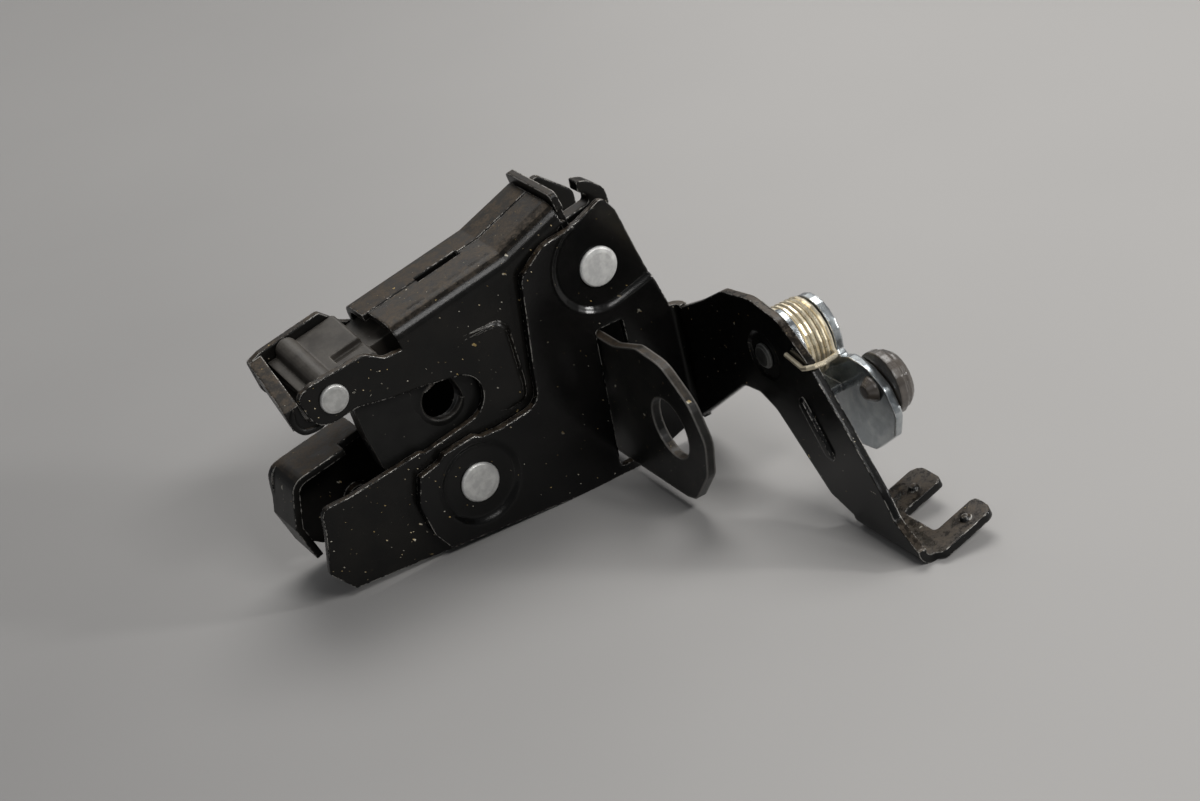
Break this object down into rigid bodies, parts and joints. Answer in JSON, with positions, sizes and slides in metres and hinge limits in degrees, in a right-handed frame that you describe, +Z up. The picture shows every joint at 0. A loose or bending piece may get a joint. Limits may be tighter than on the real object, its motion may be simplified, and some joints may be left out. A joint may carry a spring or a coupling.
{
  "type": "rear door latch",
  "caption": "Sheet steel latch: a claw and pawl turn in a two-part housing on a bracket with an eyed release lever, and a sprung cable lever on its arm.",
  "frame": {"origin": "middle of the overall box, on the plane the latch stands on", "axes": "+X along the bracket's foot towards the fork, +Y from the bracket's front face to the fixing face, +Z up"},
  "size_m": [0.1242, 0.1194, 0.0754],
  "materials": {
    "back_plate": "satin black coat with brownish sheen",
    "bracket_plate": "glossy black coat",
    "cable_clip": "moulded",
    "cable_lever": "bright zinc",
    "claw": "satin black coat",
    "claw_bush": "turned steel",
    "claw_jacket": "moulded skin",
    "claw_rivet": "dull zinc",
    "claw_spring": "spring wire",
    "end_blade": "satin black coat",
    "front_cover": "satin black coat",
    "jaw_block": "moulded",
    "jaw_bush": "turned steel",
    "jaw_rivet": "dull zinc",
    "lever_pin": "zinc plated",
    "lever_spring": "bright spring wire",
    "pawl": "satin black coat",
    "pawl_bush": "turned steel",
    "pawl_rivet": "dull zinc",
    "pawl_spring": "spring wire",
    "release_lever": "satin black coat, worn edge",
    "striker_buffer": "matt"
  },
  "bodies": {
    "housing": {"bracket_plate": "bracket_plate", "front_cover": "front_cover", "back_plate": "back_plate", "claw_rivet": "claw_rivet", "pawl_rivet": "pawl_rivet", "jaw_rivet": "jaw_rivet", "claw_bush": "claw_bush", "pawl_bush": "pawl_bush", "jaw_bush": "jaw_bush", "claw_spring": "claw_spring", "pawl_spring": "pawl_spring", "jaw_block": "jaw_block", "striker_buffer": "striker_buffer", "end_blade": "end_blade", "lever_pin": "lever_pin", "lever_spring": "lever_spring"},
    "claw": {"claw": "claw", "claw_jacket": "claw_jacket"},
    "pawl": {"pawl": "pawl", "release_lever": "release_lever"},
    "cable_lever": {"cable_lever": "cable_lever"},
    "cable_clip": {"cable_clip": "cable_clip"}
  },
  "joints": [
    {"name": "claw_turn", "type": "hinge", "parent": "housing", "child": "claw", "pos_m": [-0.01939, 0.03165, 0.0155], "axis": [0, -1, 0], "range_deg": [0, 50], "stiffness_Nm_per_rad": 0.05},
    {"name": "pawl_turn", "type": "hinge", "parent": "housing", "child": "pawl", "pos_m": [0.02371, 0.03165, 0.0542], "axis": [0, -1, 0], "range_deg": [0, 4.4], "stiffness_Nm_per_rad": 0.05},
    {"name": "lever_turn", "type": "hinge", "parent": "housing", "child": "cable_lever", "pos_m": [0.04291, -0.00715, 0.0359], "axis": [1, 0, 0], "range_deg": [0, 25], "stiffness_Nm_per_rad": 0.05, "springref_deg": -5.73},
    {"name": "clip_turn", "type": "hinge", "parent": "cable_lever", "child": "cable_clip", "pos_m": [0.04291, -0.02835, 0.0284], "axis": [1, 0, 0], "range_deg": [-30, 30]}
  ],
  "couplings": [
    {"joint": "pawl_turn", "follows": "claw_turn", "ratio": 0.088}
  ]
}
